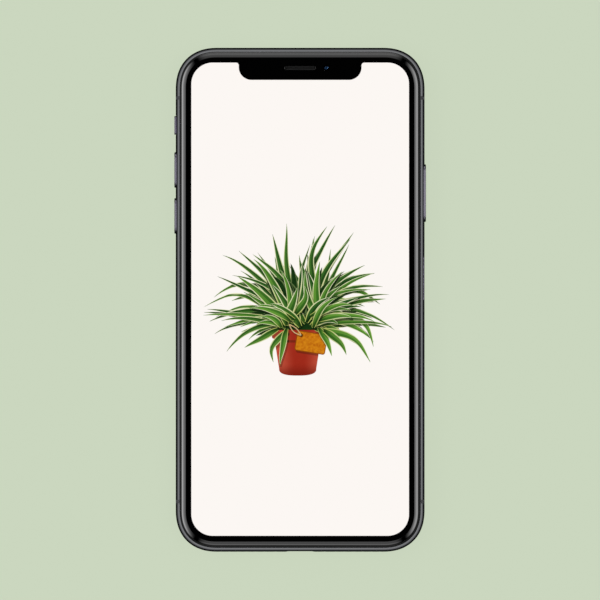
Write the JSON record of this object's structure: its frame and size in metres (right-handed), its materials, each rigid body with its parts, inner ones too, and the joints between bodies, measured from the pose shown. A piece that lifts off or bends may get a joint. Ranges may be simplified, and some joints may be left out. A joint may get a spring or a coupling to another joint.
{
  "type": "smartphone",
  "caption": "Slim touchscreen smartphone with a notched display, rolled glass faces, a polished metal frame, side keys, a mute switch and a pull-out SIM tray.",
  "frame": {"origin": "centre of the flat back face, on the surface that the phone lies on", "axes": "+X to the right across the screen, +Y to the top of the screen, +Z out of the screen"},
  "size_m": [0.0716, 0.1436, 0.0077],
  "materials": {
    "frame_steel": "polished stainless steel with a dark grey coating",
    "antenna_plastic": "dark grey moulded insert, ground flush",
    "seal_plastic": "black moulded plastic, fine matt",
    "cover_glass": "clear polished glass with a rolled rim, printed black inside round the display",
    "back_glass": "polished dark grey glass, opaque from the coating inside",
    "display": "lit display showing a potted house plant on a warm white ground",
    "inner_aluminium": "machined and blasted",
    "inner_steel": "pressed sheet, fine brushed",
    "copper": "wound lacquered copper wire",
    "ferrite": "matt sintered sheet",
    "battery_foil": "black laminated pouch film",
    "board": "dark solder mask",
    "flex": "amber polyimide film over copper",
    "fine_mesh": "fine woven black mesh",
    "lens_glass": "coated lens glass, nearly black with a blue glint",
    "flash_lens": "ribbed diffuser over a pale yellow lamp",
    "card_plastic": "white card plastic with gold contacts"
  },
  "bodies": {
    "chassis": {"frame_top": "frame_steel", "frame_bottom": "frame_steel", "frame_left": "frame_steel", "frame_right": "frame_steel", "antenna_break_top_left": "antenna_plastic", "antenna_break_top_right": "antenna_plastic", "antenna_break_bottom_left": "antenna_plastic", "antenna_break_bottom_right": "antenna_plastic", "front_seal": "seal_plastic", "back_seal": "seal_plastic", "cover_glass": "cover_glass", "back_glass": "back_glass", "display_panel": "display", "display_shield": "inner_aluminium", "display_carrier": "seal_plastic", "display_ribbon": "flex", "mid_plate": "inner_aluminium", "charging_coil": "copper", "coil_ferrite": "ferrite", "battery": "battery_foil", "battery_tab": "flex", "logic_board": "board", "processor_shield": "inner_steel", "modem_shield": "inner_steel", "sim_reader": "inner_steel", "side_switch": "flex", "volume_switches": "flex", "mute_contact": "flex", "sensor_bracket": "inner_steel", "earpiece_speaker": "seal_plastic", "earpiece_mesh": "fine_mesh", "front_camera": "lens_glass", "infrared_camera": "lens_glass", "light_sensor": "seal_plastic", "dot_projector": "seal_plastic", "camera_trim": "frame_steel", "camera_window": "lens_glass", "rear_camera_wide": "seal_plastic", "rear_camera_tele": "seal_plastic", "camera_bracket": "inner_steel", "flash_lamp": "flash_lens", "vibration_motor": "inner_steel", "loudspeaker": "seal_plastic", "speaker_mesh": "fine_mesh", "bottom_microphone": "fine_mesh", "charge_socket": "inner_steel", "screw_left": "frame_steel", "screw_right": "frame_steel"},
    "side_key": {"side_button": "frame_steel"},
    "volume_up_key": {"volume_up_button": "frame_steel"},
    "volume_down_key": {"volume_down_button": "frame_steel"},
    "mute_slider": {"mute_switch": "frame_steel"},
    "tray": {"sim_tray": "frame_steel", "sim_card": "card_plastic"}
  },
  "joints": [
    {"name": "side_press", "type": "slide", "parent": "chassis", "child": "side_key", "axis": [-1, 0, 0], "range_m": [0, 0.00025], "stiffness_N_per_m": 400, "springref_m": -0.0005},
    {"name": "volume_up_press", "type": "slide", "parent": "chassis", "child": "volume_up_key", "axis": [1, 0, 0], "range_m": [0, 0.00025], "stiffness_N_per_m": 400, "springref_m": -0.0005},
    {"name": "volume_down_press", "type": "slide", "parent": "chassis", "child": "volume_down_key", "axis": [1, 0, 0], "range_m": [0, 0.00025], "stiffness_N_per_m": 400, "springref_m": -0.0005},
    {"name": "mute_slide", "type": "slide", "parent": "chassis", "child": "mute_slider", "axis": [0, 0, -1], "range_m": [0, 0.001]},
    {"name": "tray_slide", "type": "slide", "parent": "chassis", "child": "tray", "axis": [1, 0, 0], "range_m": [0, 0.026]}
  ]
}
